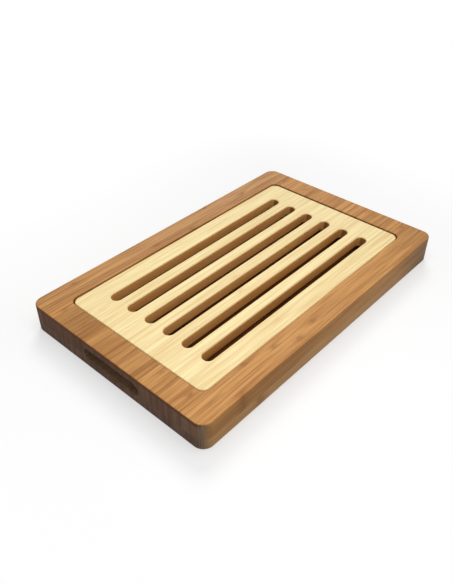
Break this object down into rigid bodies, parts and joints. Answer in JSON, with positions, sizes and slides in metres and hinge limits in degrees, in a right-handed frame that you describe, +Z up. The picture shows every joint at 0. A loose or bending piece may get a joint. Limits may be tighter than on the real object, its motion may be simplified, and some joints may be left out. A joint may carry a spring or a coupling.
{
  "type": "bread board",
  "caption": "Rectangular two-tone bamboo bread board: a tray with finger grips at both ends and a lift-out slatted panel over a crumb well.",
  "frame": {"origin": "middle of the flat underside", "axes": "+X along the board's length and grain, +Y across its width, +Z up out of the cutting face"},
  "size_m": [0.4, 0.25, 0.033],
  "materials": {
    "tray_bamboo": "carbonised bamboo, oiled satin",
    "panel_bamboo": "natural bamboo, oiled satin"
  },
  "bodies": {
    "tray": {"back_ledge_stave_1": "tray_bamboo", "back_ledge_stave_2": "tray_bamboo", "back_rail_stave_1": "tray_bamboo", "back_rail_stave_2": "tray_bamboo", "back_rail_stave_3": "tray_bamboo", "back_rail_stave_4": "tray_bamboo", "back_rail_stave_5": "tray_bamboo", "base_back_edge_stave": "tray_bamboo", "base_front_edge_stave": "tray_bamboo", "base_grip_staves": "tray_bamboo", "base_plain_staves": "tray_bamboo", "front_ledge_stave_1": "tray_bamboo", "front_ledge_stave_2": "tray_bamboo", "front_rail_stave_1": "tray_bamboo", "front_rail_stave_2": "tray_bamboo", "front_rail_stave_3": "tray_bamboo", "front_rail_stave_4": "tray_bamboo", "front_rail_stave_5": "tray_bamboo", "left_end_back_blocks": "tray_bamboo", "left_end_front_blocks": "tray_bamboo", "left_end_grip_blocks": "tray_bamboo", "right_end_back_blocks": "tray_bamboo", "right_end_front_blocks": "tray_bamboo", "right_end_grip_blocks": "tray_bamboo"},
    "slatted_panel": {"panel_end_stubs": "panel_bamboo", "panel_stave_01": "panel_bamboo", "panel_stave_02": "panel_bamboo", "panel_stave_03": "panel_bamboo", "panel_stave_04": "panel_bamboo", "panel_stave_05": "panel_bamboo", "panel_stave_06": "panel_bamboo", "panel_stave_07": "panel_bamboo", "panel_stave_08": "panel_bamboo", "panel_stave_09": "panel_bamboo", "panel_stave_10": "panel_bamboo", "panel_stave_11": "panel_bamboo", "panel_stave_12": "panel_bamboo", "panel_stave_13": "panel_bamboo", "panel_stave_14": "panel_bamboo", "panel_stave_15": "panel_bamboo", "panel_stave_16": "panel_bamboo", "panel_stave_17": "panel_bamboo", "panel_stave_18": "panel_bamboo", "panel_stave_19": "panel_bamboo", "panel_stave_20": "panel_bamboo", "panel_stave_21": "panel_bamboo", "panel_stave_22": "panel_bamboo", "panel_stave_23": "panel_bamboo", "panel_stave_24": "panel_bamboo", "panel_stave_25": "panel_bamboo", "panel_stave_26": "panel_bamboo", "panel_stave_27": "panel_bamboo", "panel_stave_28": "panel_bamboo", "panel_stave_29": "panel_bamboo", "panel_stave_30": "panel_bamboo"}
  },
  "joints": [
    {"name": "panel_lift", "type": "slide", "parent": "tray", "child": "slatted_panel", "axis": [0, 0, 1], "range_m": [0, 0.05]}
  ]
}
